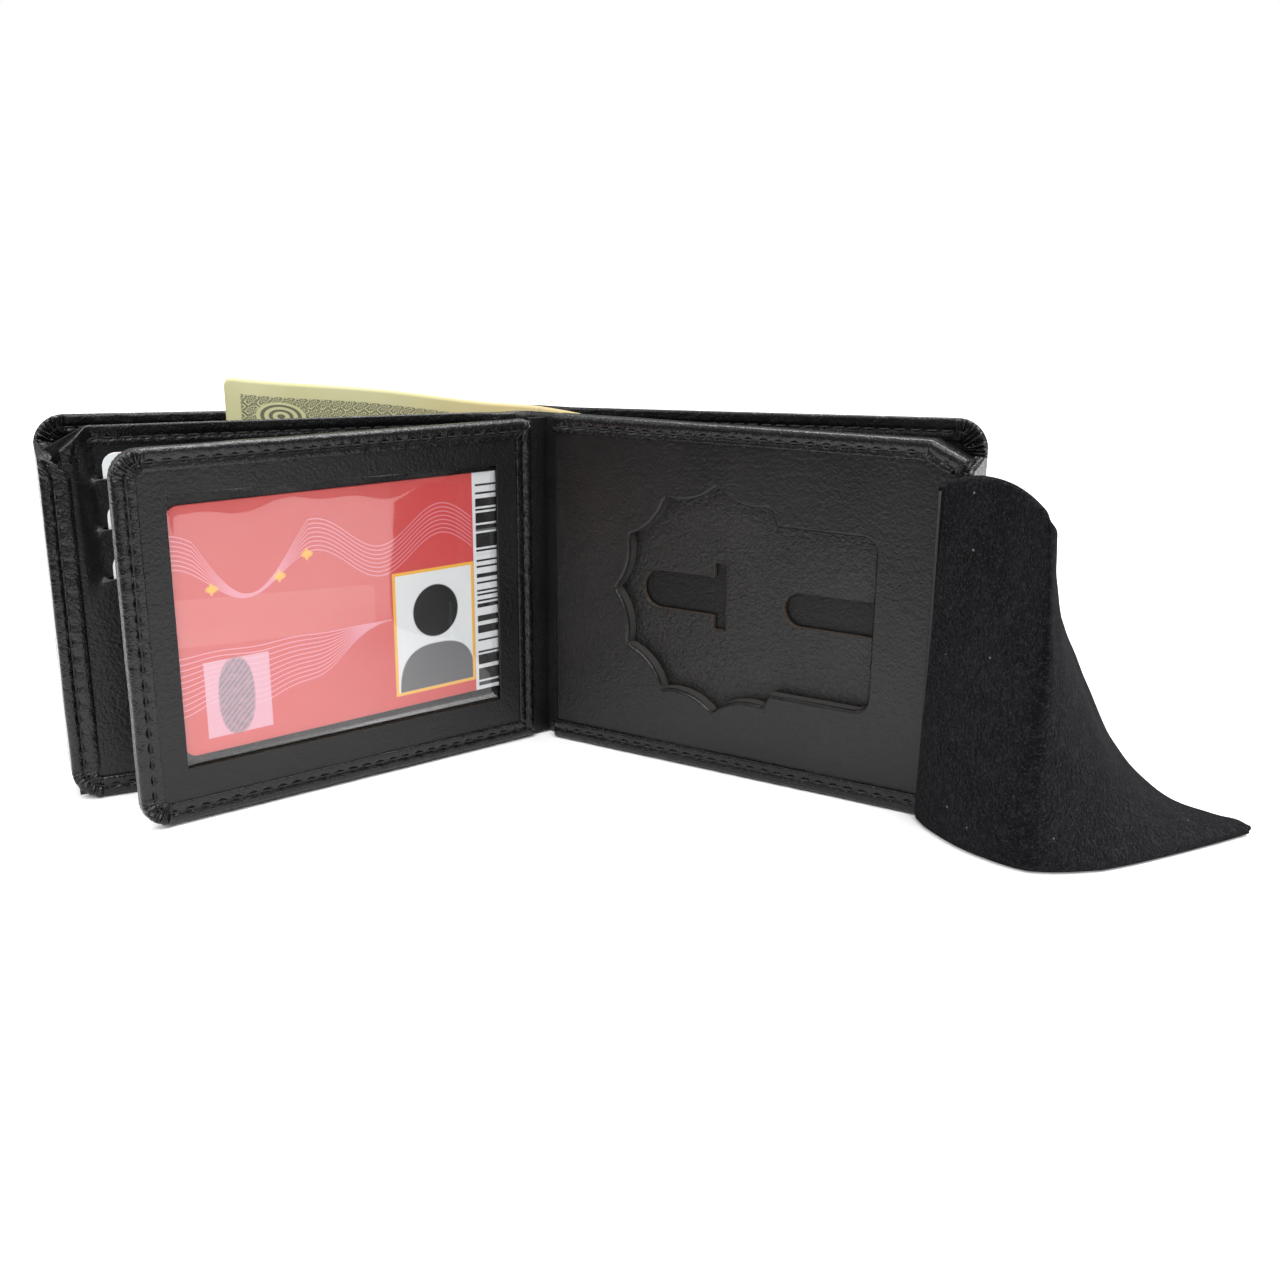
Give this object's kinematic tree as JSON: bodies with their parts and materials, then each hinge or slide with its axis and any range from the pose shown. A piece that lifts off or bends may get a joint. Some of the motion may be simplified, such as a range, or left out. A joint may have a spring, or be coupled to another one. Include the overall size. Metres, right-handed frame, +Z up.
{
  "type": "badge wallet",
  "caption": "Folding leather wallet with a badge cutout and flap, a card leaf with a clear window, card slits and a note compartment.",
  "frame": {"origin": "foot of the fold, where the front face of the badge panel meets the table", "axes": "+X along the badge half away from the fold, -Y out of the badge panel's face, +Z up"},
  "size_m": [0.2491, 0.139, 0.0968],
  "materials": {
    "cover_leather": "black grained leather, satin",
    "panel_leather": "smooth black leather, satin",
    "edge_leather": "thin black leather turned over the edges, creased",
    "lining_leather": "thin black lining leather, satin",
    "backing_leather": "black pebbled leather, brown at its cut edges",
    "dark_board": "black board, matt",
    "black_suede": "black suede with a short nap",
    "black_thread": "black waxed thread",
    "clear_vinyl": "clear glossy vinyl",
    "id_card_print": "red printed card, gloss",
    "white_card": "white card, gloss",
    "note_paper": "printed cotton paper, matt"
  },
  "bodies": {
    "spine": {"spine_cover": "cover_leather", "spine_lining": "lining_leather", "inner_spine_strip": "panel_leather", "leaf_hinge_strip": "panel_leather", "leaf_front_frame": "panel_leather", "leaf_window": "clear_vinyl", "leaf_pocket_spacer": "lining_leather", "leaf_back": "panel_leather", "leaf_turned_edge": "edge_leather", "leaf_seam_thread": "black_thread", "banknote": "note_paper"},
    "id_card_body": {"id_card": "id_card_print"},
    "left_half": {"left_cover": "cover_leather", "left_cover_lining": "lining_leather", "left_turned_edge": "edge_leather", "left_inner_wall": "panel_leather", "left_top_binding": "edge_leather", "card_pocket_top": "panel_leather", "card_pocket_middle": "panel_leather", "card_pocket_bottom": "panel_leather", "left_seam_thread": "black_thread"},
    "card_top_body": {"card_top": "white_card"},
    "card_middle_body": {"card_middle": "white_card"},
    "card_bottom_body": {"card_bottom": "white_card"},
    "right_half": {"right_cover": "cover_leather", "right_cover_lining": "lining_leather", "right_turned_edge": "edge_leather", "badge_face": "panel_leather", "badge_board": "dark_board", "badge_backing": "backing_leather", "badge_inner_wall": "lining_leather", "badge_top_binding": "edge_leather", "right_seam_thread": "black_thread", "flap_sewn_edge": "black_suede", "flap_seam_thread": "black_thread"},
    "flap": {"suede_flap": "black_suede"}
  },
  "joints": [
    {"name": "left_fold", "type": "hinge", "parent": "spine", "child": "left_half", "pos_m": [-0.00683, -0.00152, 0], "axis": [0, 0, -1], "range_deg": [-12, 47.4], "deforming": ["spine_cover", "spine_lining", "inner_spine_strip", "banknote"]},
    {"name": "right_fold", "type": "hinge", "parent": "spine", "child": "right_half", "pos_m": [0, 0, 0], "axis": [0, 0, 1], "range_deg": [-100, 10.5]},
    {"name": "flap_swing", "type": "hinge", "parent": "right_half", "child": "flap", "pos_m": [0.104, -0.0012, 0], "axis": [0, 0, 1], "range_deg": [-178, 15], "deforming": ["suede_flap"]},
    {"name": "id_card_slide", "type": "slide", "parent": "spine", "child": "id_card_body", "axis": [0, 0, 1], "range_m": [0, 0.072]},
    {"name": "card_top_slide", "type": "slide", "parent": "left_half", "child": "card_top_body", "axis": [0, 0, 1], "range_m": [0, 0.05]},
    {"name": "card_middle_slide", "type": "slide", "parent": "left_half", "child": "card_middle_body", "axis": [0, 0, 1], "range_m": [0, 0.05]},
    {"name": "card_bottom_slide", "type": "slide", "parent": "left_half", "child": "card_bottom_body", "axis": [0, 0, 1], "range_m": [0, 0.05]}
  ]
}
